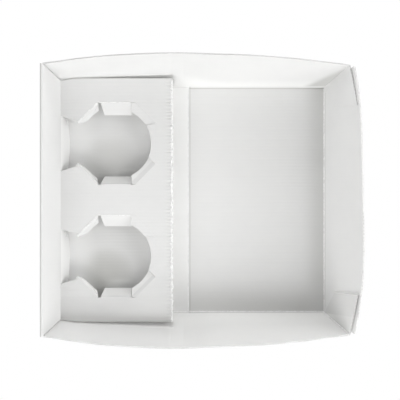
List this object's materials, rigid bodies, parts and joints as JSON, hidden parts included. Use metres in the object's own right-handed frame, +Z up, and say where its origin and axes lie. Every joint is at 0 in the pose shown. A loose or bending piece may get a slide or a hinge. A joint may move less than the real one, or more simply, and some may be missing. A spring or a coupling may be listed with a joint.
{
  "type": "cardboard cup carrier",
  "caption": "Open takeaway tray folded from white micro-flute board, with a raised shelf of flapped cup holes beside an open food space",
  "frame": {"origin": "Middle of the tray's bounding box in plan, on the ground under the floor panel", "axes": "+Z up out of the tray; +X from the cup end to the food end; +Y to the back wall"},
  "size_m": [0.3114, 0.283, 0.0703],
  "materials": {
    "white_board": "matt, uncoated white paper facings"
  },
  "bodies": {
    "root": {"folded_tray": "white_board"}
  },
  "joints": []
}
